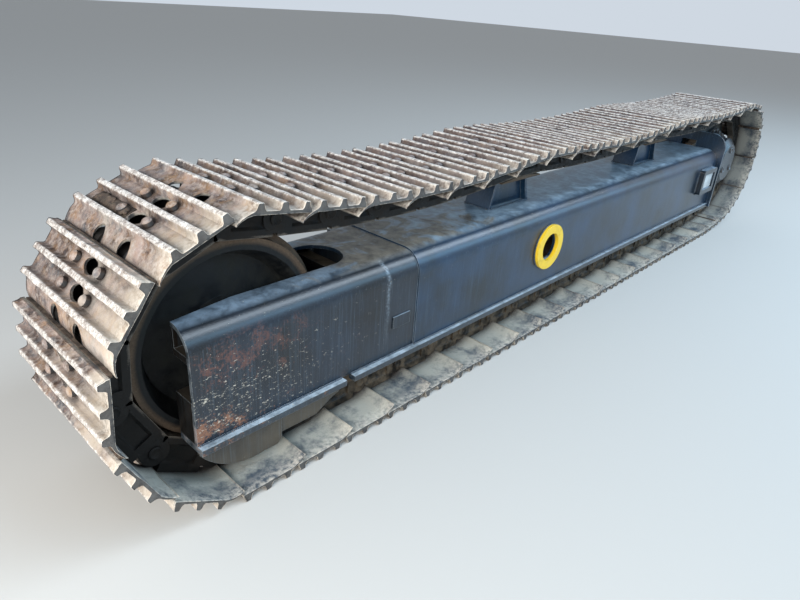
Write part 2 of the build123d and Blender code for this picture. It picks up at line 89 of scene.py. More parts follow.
def new_material(name):
    """An empty material, with its node tree and shader."""
    material = bpy.data.materials.new(name)
    material.use_nodes = True
    return material, material.node_tree, material.node_tree.nodes["Principled BSDF"]


bpy.ops.mesh.primitive_plane_add(size=80)
floor = bpy.context.object
floor.name = "studio_floor"

# Matt paper, a little darker than white, so that the unit's shadow shows on it
floor_paper, tree, shader = new_material("studio_paper")
connect(tree, shader, {"Base Color": linear("b9b8b4"), "Roughness": 0.9})
floor.data.materials.append(floor_paper)

surround = bpy.data.worlds.new("surround")
bpy.context.scene.world = surround
surround.use_nodes = True
tree = surround.node_tree
tree.nodes.clear()
rays = add(tree, "LightPath")
seen = add(tree, "Math", {0: rays.outputs["Is Camera Ray"], 1: rays.outputs["Is Glossy Ray"]},
           operation="MAXIMUM")
fill = add(tree, "Background", {"Color": linear("dfe7f1"), "Strength": 0.62})
backdrop = add(tree, "Background", {"Color": linear("cfd8e2"), "Strength": 1.0})
blend = add(tree, "MixShader", {0: seen, 1: fill, 2: backdrop})
add(tree, "OutputWorld", {"Surface": blend})

# Each lamp's place, turn in degrees, length and width in metres, watts and colour
for place, turn, length, width, watts, colour in (
    ((2.6, -2.6, 4.6), (32, 0, 0), 8.0, 1.4, 300.0, (0.72, 0.86, 1.0)),
    ((4.2, -4.4, 3.1), (58, 0, 0), 11.0, 1.5, 210.0, (0.34, 0.68, 1.0)),
    ((-4.9, -1.6, 1.9), (72, 0, -66), 3.0, 1.6, 245.0, (1.0, 0.97, 0.93)),
):
    bpy.ops.object.light_add(type="AREA", location=place, rotation=[radians(angle) for angle in turn])
    lamp = bpy.context.object.data
    lamp.shape = "RECTANGLE"
    lamp.size = length
    lamp.size_y = width
    lamp.energy = watts
    lamp.color = colour


# Track shoes
# Each shoe is hot-rolled steel with three grousers and a lip that tucks under the next shoe.
# It is pierced between the grousers so that dirt falls through. Hard ground has worn the
# grousers round and bright, and the faces between them carry rust and dried dust.

# X and Z of the chain's pins in millimetres, from the foot of the idler over the top
per_metre = 1000
pin_places = (
    (-1993.5, 85.0), (-2155.7, 183.9), (-2242.7, 352.8), (-2229.1, 542.3), (-2118.8, 697.0),
    (-1944.1, 771.7), (-1756.0, 744.5), (-1567.2, 723.7), (-1377.5, 712.3), (-1187.6, 708.4),
    (-997.6, 711.9), (-807.9, 723.0), (-618.4, 737.0), (-428.5, 733.5), (-238.7, 723.4), (-48.8, 718.2),
    (141.2, 717.9), (331.1, 722.5), (520.9, 732.0), (710.6, 742.0), (900.6, 738.8), (1090.5, 732.0),
    (1280.5, 730.0), (1470.5, 733.0), (1660.3, 740.8), (1849.8, 753.9), (2037.8, 725.9),
    (2177.3, 597.0), (2219.9, 411.8), (2150.8, 234.8), (1994.0, 127.5), (1805.8, 101.7), (1616.5, 85.0),
    (1426.5, 85.0), (1236.5, 85.0), (1046.5, 85.0), (856.5, 85.0), (666.5, 85.0), (476.5, 85.0),
    (286.5, 85.0), (96.5, 85.0), (-93.5, 85.0), (-283.5, 85.0), (-473.5, 85.0), (-663.5, 85.0),
    (-853.5, 85.0), (-1043.5, 85.0), (-1233.5, 85.0), (-1423.5, 85.0), (-1613.5, 85.0), (-1803.5, 85.0),
)
link_frames = []
for (ax, az), (bx, bz) in zip(pin_places, pin_places[1:] + pin_places[:1]):
    along = Vector((bx - ax, 0, bz - az)).normalized()
    out = Vector((-along.z, 0, along.x))
    turn = Matrix((along, Vector((0, 1, 0)), out)).transposed().to_4x4()
    middle = ((ax + bx) / 2 / per_metre, 0, (az + bz) / 2 / per_metre)
    link_frames.append(Matrix.Translation(middle) @ turn)


def pick(*pieces):
    """Selects these pieces alone. The first is the active one."""
    bpy.ops.object.select_all(action="DESELECT")
    for piece in pieces:
        piece.select_set(True)
    bpy.context.view_layer.objects.active = pieces[0]


def cut_all(place, normal):
    """Cuts the whole mesh in edit mode along a plane."""
    bpy.ops.mesh.select_all(action="SELECT")
    bpy.ops.mesh.bisect(plane_co=place, plane_no=normal)


def select_faces(piece, wanted):
    """Selects the faces that a test on centre and normal picks, and leaves edit mode on."""
    bpy.ops.object.mode_set(mode="OBJECT")
    for element in (*piece.data.edges, *piece.data.vertices):
        element.select = False
    for face in piece.data.polygons:
        face.select = wanted(face.center, face.normal)
    bpy.ops.object.mode_set(mode="EDIT")


def inset_faces(piece, wanted, *steps):
    """Insets the faces that a test picks, in steps of thickness and depth, and ends edit mode."""
    select_faces(piece, wanted)
    for thickness, depth in steps:
        bpy.ops.mesh.inset(thickness=thickness, depth=depth)
    bpy.ops.object.mode_set(mode="OBJECT")


def start(name, kind, **settings):
    """A primitive, alone selected, with its size and place in its mesh."""
    bpy.ops.object.select_all(action="DESELECT")
    scale = settings.pop("scale", (1, 1, 1))
    getattr(bpy.ops.mesh, f"primitive_{kind}_add")(**settings)
    piece = bpy.context.object
    piece.name = name
    piece.scale = scale
    bpy.ops.object.transform_apply(location=True, rotation=True, scale=True)
    return piece


def finish(piece, kind, **settings):
    """Applies one modifier to the piece."""
    pick(piece)
    modifier = piece.modifiers.new(kind.lower(), kind)
    for name, value in settings.items():
        setattr(modifier, name, value)
    bpy.ops.object.modifier_apply(modifier=modifier.name)


def together(name, pieces):
    """Joins pieces into one."""
    pick(*pieces)
    if len(pieces) > 1:
        bpy.ops.object.join()
    piece = bpy.context.object
    piece.name = name
    return piece


def repeated(name, shape, places):
    """One piece with a copy of the shape at each place. The shape itself goes."""
    copies = []
    for place in places:
        copy = shape.copy()
        copy.data = shape.data.copy()
        copy.data.transform(place)
        bpy.context.collection.objects.link(copy)
        copies.append(copy)
    bpy.data.objects.remove(shape)
    return together(name, copies)


def fitted(piece, material, slot, *replaced):
    """Gives a piece its finish and smooth shading, and puts it on the root body."""
    pick(piece)
    bpy.ops.object.shade_smooth_by_angle(angle=radians(38))
    piece.data.materials.clear()
    piece.data.materials.append(material)
    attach(piece, "root")
    if replaced:
        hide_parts(*replaced)


shoe_seat = 0.054
shoe_face = 0.065
shoe_width = 0.499
shoe_slices = 16
grouser_places = (-0.061, 0.008, 0.076)
grouser_foot = 0.034
# Rise of each step and the width that it narrows to
grouser_steps = ((0.003, 0.028), (0.005, 0.024), (0.006, 0.021), (0.004, 0.018), (0.002, 0.012))
# Reach and drop of each step
lip_steps = ((0.016, 0.006), (0.016, 0.009), (0.014, 0.012))
lip_taper = 0.86
plate_front = grouser_places[0] - grouser_foot / 2
plate_back = grouser_places[2] + 0.0155
last_cut = plate_back - 0.0005
shoe = start("shoe", "cube", size=1,
             location=((plate_front + plate_back) / 2, 0, (shoe_seat + shoe_face) / 2),
             scale=(plate_back - plate_front, shoe_width, shoe_face - shoe_seat))
bpy.ops.object.mode_set(mode="EDIT")
bpy.ops.mesh.select_mode(type="FACE")
for place in grouser_places:
    for edge in (place - grouser_foot / 2, min(place + grouser_foot / 2, last_cut)):
        cut_all((edge, 0, 0), (1, 0, 0))
for cut in range(1, shoe_slices):
    cut_all((0, shoe_width * (cut / shoe_slices - 0.5), 0), (0, 1, 0))
for place in grouser_places:
    select_faces(shoe, lambda centre, normal: normal.z > 0.9 and abs(centre.x - place) < grouser_foot / 2)
    width = grouser_foot
    for rise, narrowed in grouser_steps:
        bpy.ops.mesh.extrude_region_move(TRANSFORM_OT_translate={"value": (0, 0, rise)})
        bpy.ops.transform.resize(value=(narrowed / width, 1, 1), center_override=(place, 0, 0))
        width = narrowed
select_faces(shoe, lambda centre, normal: normal.x < -0.9 and centre.x < plate_front + 0.001)
for reach, drop in lip_steps:
    bpy.ops.mesh.extrude_region_move(TRANSFORM_OT_translate={"value": (-reach, 0, -drop)})
    bpy.ops.transform.resize(value=(1, 1, lip_taper))
bpy.ops.mesh.select_all(action="SELECT")
bpy.ops.mesh.normals_make_consistent(inside=False)
bpy.ops.object.mode_set(mode="OBJECT")

# Two dirt holes in the middle of the shoe, and two notches that clear the links in its lip
bolt_rows = (-0.0265, 0.042)
bolt_side = 0.064
holes = [((row, -0.004, shoe_face), (0.038, 0.062, 1), 0.05) for row in bolt_rows]
holes += [((-0.108, side, shoe_seat), (0.050, 0.044, 1), 0.12) for side in (-bolt_side, bolt_side)]
cutters = [start("cutter", "cylinder", vertices=18, radius=0.5, depth=depth, location=place, scale=oval)
           for place, oval, depth in holes]
cutter = together("cutter", cutters)
finish(shoe, "BOOLEAN", object=cutter, solver="EXACT")
bpy.data.objects.remove(cutter)
finish(shoe, "BEVEL", width=0.0022, segments=1, limit_method="ANGLE", angle_limit=radians(50))

# Wear grows over the upper part of the grousers. Each shoe has a tint of its own
wear_from = shoe_face + 0.007
wear_height = 0.011
worn = shoe.data.attributes.new("worn", "FLOAT", "POINT")
inner = shoe.data.attributes.new("inner", "FLOAT", "POINT")
for index, vertex in enumerate(shoe.data.vertices):
    worn.data[index].value = min(1.0, max(0.0, (vertex.co.z - wear_from) / wear_height))
    inner.data[index].value = 1.0 if vertex.normal.z < -0.25 else 0.0
vertex_count = len(shoe.data.vertices)
shoes = repeated("track_shoes", shoe, link_frames)
random.seed(31)
tints = [random.random() for link in link_frames]
tint = shoes.data.attributes.new("tint", "FLOAT", "POINT")
tint.data.foreach_set("value", [share for share in tints for vertex in range(vertex_count)])
dents = bpy.data.textures.new("dents", "CLOUDS")
dents.noise_scale = 0.035
finish(shoes, "DISPLACE", texture=dents, texture_coords="LOCAL", strength=0.004, mid_level=1.0)

# Rusted rolled steel: pinkish brown with cream dust towards the outer ends, painted shade in the
# corners, pale scuffed crests with dark pits, and grey-blue trodden faces inside the loop.
# The dust thins out towards the drive end, and the outboard rim is paler in broken patches. Patches
# are 90 mm across and flakes 16 mm. Pits are drawn 5 mm wide, so that they show
steel, tree, shader = new_material("rusted_rolled_steel")
place = add(tree, "TexCoord").outputs["Object"]
normal = add(tree, "NewGeometry").outputs["Normal"]
patches = add(tree, "TexNoise", {"Vector": place, "Scale": 11.0, "Detail": 9.0, "Roughness": 0.7})
grit = add(tree, "TexNoise", {"Vector": place, "Scale": 210.0, "Detail": 5.0, "Roughness": 0.78})
flakes = add(tree, "TexNoise", {"Vector": place, "Scale": 62.0, "Detail": 7.0, "Roughness": 0.72})
dirt = add(tree, "TexNoise", {"Vector": place, "Scale": 6.0, "Detail": 10.0, "Roughness": 0.74})
tint_mark = add(tree, "Attribute", attribute_name="tint").outputs["Fac"]
patch_share = add(tree, "MapRange", {"Value": patches, "From Min": 0.42, "From Max": 0.62})
brown = add(tree, "Mix", {0: patch_share, 6: linear("3a2a24"), 7: linear("9d8b83")}, data_type="RGBA")
elsewhere = add(tree, "Mapping", {"Vector": place, "Location": (3.1, 1.7, 5.2)})
blooms = add(tree, "TexNoise", {"Vector": elsewhere, "Scale": 15.0, "Detail": 8.0, "Roughness": 0.75})
ochre_share = add(tree, "MapRange", {"Value": blooms, "From Min": 0.50, "From Max": 0.64, "To Max": 0.55})
ochre = add(tree, "Mix", {0: ochre_share, 6: brown, 7: linear("a8835a")}, data_type="RGBA")
blue_share = add(tree, "MapRange", {"Value": blooms, "From Min": 0.38, "From Max": 0.48, "To Min": 0.8,
                                    "To Max": 0.0})
rust = add(tree, "Mix", {0: blue_share, 6: ochre, 7: linear("5d6267")}, data_type="RGBA")
flake_share = add(tree, "MapRange", {"Value": flakes, "From Min": 0.47, "From Max": 0.64, "To Max": 0.75})
where = add(tree, "SeparateXYZ", {0: place})
outer = add(tree, "MapRange", {"Value": where.outputs["Y"], "From Min": -0.22, "From Max": 0.16,
                               "To Min": 0.13, "To Max": -0.11})
astern = add(tree, "MapRange", {"Value": where.outputs["X"], "From Min": -1.8, "From Max": 1.2,
                                "To Max": -0.11})
shaded = add(tree, "Math", {0: outer, 1: astern}, operation="ADD")
shifted = add(tree, "Math", {0: tint_mark, 1: 0.07, 2: shaded}, operation="MULTIPLY_ADD")
dirt_level = add(tree, "Math", {0: dirt, 1: shifted}, operation="ADD")
dirt_share = add(tree, "MapRange", {"Value": dirt_level, "From Min": 0.50, "From Max": 0.68, "To Max": 0.7})
dusted = add(tree, "Mix", {0: dirt_share, 6: rust, 7: linear("c3b8a8")}, data_type="RGBA")
dusty = add(tree, "Mix", {0: flake_share, 6: dusted, 7: linear("aea49d")}, data_type="RGBA")
# Beyond the idler wrap the faces are mixed halfway towards a dark grey
upper_tone = add(tree, "MapRange", {"Value": where.outputs["X"], "From Min": -2.0, "From Max": -1.4,
                                    "To Max": 0.5})
toned_beyond_wrap = add(tree, "Mix", {0: upper_tone, 6: dusty, 7: linear("5c5153")}, data_type="RGBA")
inner_mark = add(tree, "Attribute", attribute_name="inner").outputs["Fac"]
from_rim = add(tree, "MapRange", {"Value": where.outputs["Y"], "From Min": -0.24, "From Max": -0.13,
                                  "To Min": -0.09, "To Max": 0.05})
inner_level = add(tree, "Math", {0: dirt, 1: from_rim}, operation="ADD")
inner_patch = add(tree, "MapRange", {"Value": inner_level, "From Min": 0.38, "From Max": 0.54})
inner_face = add(tree, "Mix", {0: inner_patch, 6: linear("414b54"), 7: linear("9b9b92")}, data_type="RGBA")
far_shade = add(tree, "MapRange", {"Value": where.outputs["X"], "From Min": 1.55, "From Max": 2.05,
                                   "To Max": 0.45})
inner_tone = add(tree, "Mix", {0: far_shade, 6: inner_face, 7: linear("30363c")}, data_type="RGBA")
faces = add(tree, "Mix", {0: inner_mark, 6: toned_beyond_wrap, 7: inner_tone}, data_type="RGBA")
worn_mark = add(tree, "Attribute", attribute_name="worn").outputs["Fac"]
pitted = add(tree, "Math", {0: grit, 1: flakes}, operation="ADD")
grit_share = add(tree, "MapRange", {"Value": pitted, "From Min": 0.80, "From Max": 1.16})
ragged = add(tree, "Math", {0: flakes, 1: 0.9, 2: worn_mark}, operation="MULTIPLY_ADD")
bare_share = add(tree, "MapRange", {"Value": ragged, "From Min": 1.08, "From Max": 1.45, "To Max": 0.95})
bare = add(tree, "Mix", {0: grit_share, 6: linear("6c605a"), 7: linear("f2ede6")}, data_type="RGBA")
scuffed = add(tree, "Mix", {0: bare_share, 6: faces, 7: bare}, data_type="RGBA")
# Painted shade: ambient occlusion darkens the corners and the roots of the grousers towards dark brown
corner = add(tree, "AmbientOcclusion", {"Distance": 0.038}, samples=6).outputs["AO"]
corner_shade_share = add(tree, "MapRange", {"Value": corner, "From Min": 0.42, "From Max": 0.93,
                                      "To Min": 0.95, "To Max": 0.0})
corner_shaded = add(tree, "Mix", {0: corner_shade_share, 6: scuffed, 7: linear("261d19")}, data_type="RGBA")
facing = add(tree, "SeparateXYZ", {0: normal})
# Painted shade: faces that look along the pins, at the ends of the shoes and grousers, are darkened
end_facing = add(tree, "Math", {0: facing.outputs["Y"]}, operation="ABSOLUTE")
end_shade_share = add(tree, "MapRange", {"Value": end_facing, "From Min": 0.8, "From Max": 0.95, "To Max": 0.9})
# Paler in broken patches along the outboard rim
rim_near = add(tree, "MapRange", {"Value": where.outputs["Y"], "From Min": -0.246, "From Max": -0.19,
                                  "To Min": 0.65, "To Max": 0.0})
rim_broken = add(tree, "MapRange", {"Value": flakes, "From Min": 0.40, "From Max": 0.58})
rim_share = add(tree, "Math", {0: rim_near, 1: rim_broken}, operation="MULTIPLY")
rim_paled = add(tree, "Mix", {0: rim_share, 6: corner_shaded, 7: linear("d8d0c2")}, data_type="RGBA")
end_shade_tone = add(tree, "Mix", {0: patch_share, 6: linear("1b1e22"), 7: linear("3b3e40")}, data_type="RGBA")
colour = add(tree, "Mix", {0: end_shade_share, 6: rim_paled, 7: end_shade_tone}, data_type="RGBA")
shine = add(tree, "Math", {0: bare_share, 1: 0.25}, operation="MULTIPLY")
rough = add(tree, "MapRange", {"Value": bare_share, "To Min": 0.85, "To Max": 0.55})
pits = add(tree, "Bump", {"Height": grit, "Strength": 0.8, "Distance": 0.0015})
scale_bump = add(tree, "Bump", {"Height": flakes, "Strength": 0.8, "Distance": 0.004, "Normal": pits})
connect(tree, shader, {"Base Color": colour, "Metallic": shine, "Roughness": rough, "Normal": scale_bump})
fitted(shoes, steel, "track_steel", "track_loop")


# Shoe bolts
# Four bolts of hardened steel clamp each shoe to its two link strands. The ground has worn
# their hexagon heads to round stubs.
bolt_height = 0.0105
stub_level = shoe_face + 0.0095
bolt = start("bolt", "cylinder", vertices=12, radius=0.0145, depth=bolt_height,
             location=(0, 0, shoe_face + bolt_height / 2))
inset_faces(bolt, lambda centre, normal: normal.z > 0.9, (0.004, 0.004), (0.004, 0.0015))
worn = bolt.data.attributes.new("worn", "FLOAT", "POINT")
for index, vertex in enumerate(bolt.data.vertices):
    worn.data[index].value = 0.3 if vertex.co.z > stub_level else 0.0
seats = [Matrix.Translation((row, side, 0)) for row in bolt_rows for side in (-bolt_side, bolt_side)]
bolt_places = [link @ seat for link in link_frames for seat in seats]
bolts = repeated("shoe_bolts", bolt, bolt_places)
fitted(bolts, steel, "track_steel", "track_loop")


# Track chain
# Two strands of forged links, joined by hardened bushings and pins. At each pin one link's
# eye lies inside the next one's. The rails that the rollers run on are polished.
crosswise = (pi / 2, 0, 0)
link_inner = 0.067
link_width = 0.038
link_rail = 0.050
half_pitch = 0.095
strand_middle = link_inner + link_width / 2
panel_low, panel_high = -0.028, 0.030
eye_radius = 0.041
eye_width = 0.0185
arm_x = 0.066
web = start("link", "cube", size=1, location=(0, strand_middle, 0.002), scale=(0.132, link_width, 0.104))
bpy.ops.object.mode_set(mode="EDIT")
bpy.ops.mesh.select_mode(type="FACE")
for level in (panel_low, panel_high):
    cut_all((0, 0, level), (0, 0, 1))
inset_faces(web, lambda centre, normal: abs(normal.y) > 0.9 and panel_low < centre.z < panel_high,
            (0.008, -0.007))
rail = start("rail", "cube", size=1, location=(0, strand_middle, -link_rail + 0.009),
             scale=(0.176, link_width, 0.018))
ends = ((1, link_inner + 0.0095), (-1, link_inner + link_width - 0.0095))
eyes = [start("eye", "cylinder", vertices=20, radius=eye_radius, depth=eye_width, rotation=crosswise,
              location=(end * half_pitch, side, 0)) for end, side in ends]
arms = [start("arm", "cube", size=1, location=(end * arm_x, side, 0), scale=(0.05, eye_width, 0.070))
        for end, side in ends]
for part in (rail, *eyes, *arms):
    finish(web, "BOOLEAN", object=part, operation="UNION", solver="EXACT")
    bpy.data.objects.remove(part)
finish(web, "BEVEL", width=0.0025, segments=1, limit_method="ANGLE", angle_limit=radians(50))
worn = web.data.attributes.new("worn", "FLOAT", "POINT")
for index, vertex in enumerate(web.data.vertices):
    worn.data[index].value = 1.0 if vertex.co.z < -link_rail + 0.003 else 0.0
other = web.copy()
other.data = web.data.copy()
other.data.transform(Matrix.Diagonal((1, -1, 1, 1)))
other.data.flip_normals()
bpy.context.collection.objects.link(other)
strands = repeated("track_links", together("link", [web, other]), link_frames)

bushing = start("bushing", "cylinder", vertices=20, radius=0.029, depth=2 * link_inner, rotation=crosswise)
inset_faces(bushing, lambda centre, normal: abs(normal.y) > 0.9, (0.006, -0.002))
pin = start("pin", "cylinder", vertices=20, radius=0.019, depth=0.216, rotation=crosswise)
inset_faces(pin, lambda centre, normal: abs(normal.y) > 0.9, (0.004, 0.002), (0.006, -0.003))
shaft = together("pin", [bushing, pin])
shaft.data.attributes.new("worn", "FLOAT", "POINT")
pins = repeated("track_pins", shaft,
                [Matrix.Translation((x / per_metre, 0, z / per_metre)) for x, z in pin_places])

# Forged chain steel: oily brown-black crust, bright where rails and bushings roll, and dusted
# with crumbs of soil along the lower run. Lumps of 45 mm, and grain as coarse as shows, 4 mm
forged, tree, shader = new_material("oiled_forged_steel")
place = add(tree, "TexCoord").outputs["Object"]
crust = add(tree, "TexNoise", {"Vector": place, "Scale": 22.0, "Detail": 9.0, "Roughness": 0.7})
grain = add(tree, "TexNoise", {"Vector": place, "Scale": 240.0, "Detail": 3.0, "Roughness": 0.7})
crust_share = add(tree, "MapRange", {"Value": crust, "From Min": 0.42, "From Max": 0.64})
oily = add(tree, "Mix", {0: crust_share, 6: linear("0b0b0b"), 7: linear("211e1b")}, data_type="RGBA")
where = add(tree, "SeparateXYZ", {0: place})
low_run = add(tree, "MapRange", {"Value": where.outputs["Z"], "From Min": 0.20, "From Max": 0.26,
                                 "To Min": 1.0, "To Max": 0.0})
behind = add(tree, "MapRange", {"Value": where.outputs["X"], "From Min": -1.75, "From Max": -1.35})
trodden = add(tree, "Math", {0: low_run, 1: behind}, operation="MULTIPLY")
crumbs = add(tree, "MapRange", {"Value": crust, "From Min": 0.42, "From Max": 0.60, "To Min": 0.05,
                                "To Max": 0.85})
soil_share = add(tree, "Math", {0: trodden, 1: crumbs}, operation="MULTIPLY")
soiled = add(tree, "Mix", {0: soil_share, 6: oily, 7: linear("675a4a")}, data_type="RGBA")
worn_mark = add(tree, "Attribute", attribute_name="worn").outputs["Fac"]
scuff = add(tree, "Math", {0: grain, 1: 0.5, 2: worn_mark}, operation="MULTIPLY_ADD")
bare_share = add(tree, "MapRange", {"Value": scuff, "From Min": 0.85, "From Max": 1.2})
colour = add(tree, "Mix", {0: bare_share, 6: soiled, 7: linear("6f6860")}, data_type="RGBA")
rough = add(tree, "MapRange", {"Value": crust_share, "To Min": 0.45, "To Max": 0.85})
lumps = add(tree, "Bump", {"Height": crust, "Strength": 0.6, "Distance": 0.004})
connect(tree, shader, {"Base Color": colour, "Metallic": bare_share, "Roughness": rough, "Normal": lumps,
                       "Specular IOR Level": 0.25})
fitted(strands, forged, "track_steel", "track_loop")
fitted(pins, forged, "track_steel", "track_loop")


# Frame
# The nose and the deep beam behind it are pressed from 12 mm plate and welded at a splice, with
# bars along their lower edges. They are sprayed with blue-black enamel, now dusty on top,
# streaked on the sides, and chipped and rusted at the front where stones strike.
def coat(material, *names):
    """Gives CAD nodes a finish."""
    for name in names:
        for slot in nodes[name].material_slots:
            slot.material = material


stain_x = -1.385
rust_spots = ((-2.07, 0.25, 0.15), (-1.90, 0.445, 0.20))


def sprayed_enamel(name, dark, pale, dust, dust_share, rust_front, chip_share):
    """Weathered enamel. Rust gathers towards -X from the place rust_front, in metres."""
    # Clouds of 220 mm, blots of 50 mm and streaks 4 mm wide. Specks are coarser than real
    # ones, 7 mm, so that they show
    material, tree, shader = new_material(name)
    place = add(tree, "TexCoord").outputs["Object"]
    normal = add(tree, "NewGeometry").outputs["Normal"]
    rounded = add(tree, "Bevel", {"Radius": 0.003}, samples=4)
    apart = add(tree, "VectorMath", {0: rounded, 1: normal}, operation="DOT_PRODUCT")
    edge = add(tree, "MapRange", {"Value": apart, "From Min": 0.80, "From Max": 0.99,
                                  "To Min": 1.0, "To Max": 0.0})
    where = add(tree, "SeparateXYZ", {0: place})
    facing = add(tree, "SeparateXYZ", {0: normal})
    cloud = add(tree, "TexNoise", {"Vector": place, "Scale": 4.5, "Detail": 8.0, "Roughness": 0.6})
    stretched = add(tree, "Mapping", {"Vector": place, "Scale": (230.0, 230.0, 4.0)})
    streaks = add(tree, "TexNoise", {"Vector": stretched, "Scale": 1.0, "Detail": 5.0, "Roughness": 0.6})
    speck = add(tree, "TexNoise", {"Vector": place, "Scale": 150.0, "Detail": 5.0, "Roughness": 0.8})
    blot = add(tree, "TexNoise", {"Vector": place, "Scale": 19.0, "Detail": 9.0, "Roughness": 0.72,
                                  "Distortion": 0.3})
    fade = add(tree, "MapRange", {"Value": cloud, "From Min": 0.35, "From Max": 0.68})
    paint = add(tree, "Mix", {0: fade, 6: linear(dark), 7: linear(pale)}, data_type="RGBA")

    # Pale streaks down the sides, and one strong stain beside the splice
    side = add(tree, "MapRange", {"Value": facing.outputs["Z"], "From Min": 0.15, "From Max": 0.55,
                                  "To Min": 1.0, "To Max": 0.0})
    run = add(tree, "MapRange", {"Value": streaks, "From Min": 0.50, "From Max": 0.80, "To Max": 0.13})
    run_share = add(tree, "Math", {0: run, 1: side}, operation="MULTIPLY")
    streaked = add(tree, "Mix", {0: run_share, 6: paint, 7: linear("7f9db3")}, data_type="RGBA")
    wander = add(tree, "Math", {0: blot, 1: 0.03, 2: where.outputs["X"]}, operation="MULTIPLY_ADD")
    beside = add(tree, "Math", {0: wander, 1: -stain_x}, operation="ADD")
    off_line = add(tree, "Math", {0: beside}, operation="ABSOLUTE")
    line = add(tree, "MapRange", {"Value": off_line, "From Max": 0.012, "To Min": 1.0, "To Max": 0.0})
    fallen = add(tree, "MapRange", {"Value": where.outputs["Z"], "From Min": 0.25, "From Max": 0.52,
                                    "To Max": 0.8})
    washed = add(tree, "MapRange", {"Value": speck, "From Min": 0.42, "From Max": 0.66, "To Max": 0.8})
    wet = add(tree, "Math", {0: line, 1: washed}, operation="MULTIPLY")
    drip = add(tree, "Math", {0: wet, 1: fallen}, operation="MULTIPLY")
    stained = add(tree, "Mix", {0: drip, 6: streaked, 7: linear("a4b4c0")}, data_type="RGBA")

    # Dust on what lies flat, and mud smeared over the top of the frame
    lying = add(tree, "MapRange", {"Value": facing.outputs["Z"], "From Min": 0.86, "From Max": 0.995})
    swirl = add(tree, "MapRange", {"Value": blot, "From Min": 0.36, "From Max": 0.62, "To Min": 0.25})
    settled = add(tree, "Math", {0: lying, 1: swirl}, operation="MULTIPLY")
    dust_fac = add(tree, "Math", {0: settled, 1: dust_share}, operation="MULTIPLY")
    dusty = add(tree, "Mix", {0: dust_fac, 6: stained, 7: linear(dust)}, data_type="RGBA")
    swept = add(tree, "TexNoise", {"Vector": place, "Scale": 6.0, "Detail": 8.0, "Roughness": 0.62,
                                   "Distortion": 2.2})
    splashed = add(tree, "MapRange", {"Value": where.outputs["X"], "From Min": -1.25, "From Max": -0.45,
                                      "To Min": 0.12, "To Max": -0.20})
    ahead = add(tree, "MapRange", {"Value": where.outputs["X"], "From Min": -1.80, "From Max": -1.42,
                                   "To Min": 0.30, "To Max": 0.0})
    behind = add(tree, "Math", {0: splashed, 1: ahead}, operation="SUBTRACT")
    smear = add(tree, "Math", {0: swept, 1: behind}, operation="ADD")
    smear_share = add(tree, "MapRange", {"Value": smear, "From Min": 0.46, "From Max": 0.60, "To Max": 0.9})
    upper = add(tree, "MapRange", {"Value": where.outputs["Z"], "From Min": 0.40, "From Max": 0.50})
    on_top = add(tree, "Math", {0: upper, 1: lying}, operation="MULTIPLY")
    top_smear = add(tree, "Math", {0: smear_share, 1: on_top}, operation="MULTIPLY")
    mud_tone = add(tree, "Mix", {0: swirl, 6: linear("24211d"), 7: linear("7a7263")}, data_type="RGBA")
    muddied = add(tree, "Mix", {0: top_smear, 6: dusty, 7: mud_tone}, data_type="RGBA")

    # Rust that blooms at the front, most of all round two spots
    front = add(tree, "MapRange", {"Value": where.outputs["X"], "From Min": rust_front - 0.5,
                                   "From Max": rust_front, "To Min": 1.0, "To Max": 0.0})
    zones = []
    for x, z, reach in rust_spots:
        offset = add(tree, "Mapping", {"Vector": place, "Location": (-0.6 * x, 0, -2 * z),
                                       "Scale": (0.6, 0, 2)})
        away = add(tree, "VectorMath", {0: offset}, operation="LENGTH")
        zones.append(add(tree, "MapRange", {"Value": away, "From Max": reach, "To Min": 0.19,
                                            "To Max": 0.0}))
    zone = add(tree, "Math", {0: zones[0], 1: zones[1]}, operation="MAXIMUM")
    flecks = add(tree, "Math", {0: speck, 1: 0.7, 2: blot}, operation="MULTIPLY_ADD")
    near_rust = add(tree, "Math", {0: flecks, 1: zone}, operation="ADD")
    bloom = add(tree, "MapRange", {"Value": near_rust, "From Min": 0.97, "From Max": 1.07, "To Max": 0.64})
    rust_fac = add(tree, "Math", {0: front, 1: bloom}, operation="MULTIPLY")
    rust_side = add(tree, "Math", {0: rust_fac, 1: side}, operation="MULTIPLY")
    height = add(tree, "MapRange", {"Value": where.outputs["Z"], "From Min": 0.28, "From Max": 0.38})
    rust_tone = add(tree, "Mix", {0: height, 6: linear("8c6045"), 7: linear("613f35")}, data_type="RGBA")
    rusted = add(tree, "Mix", {0: rust_side, 6: muddied, 7: rust_tone}, data_type="RGBA")

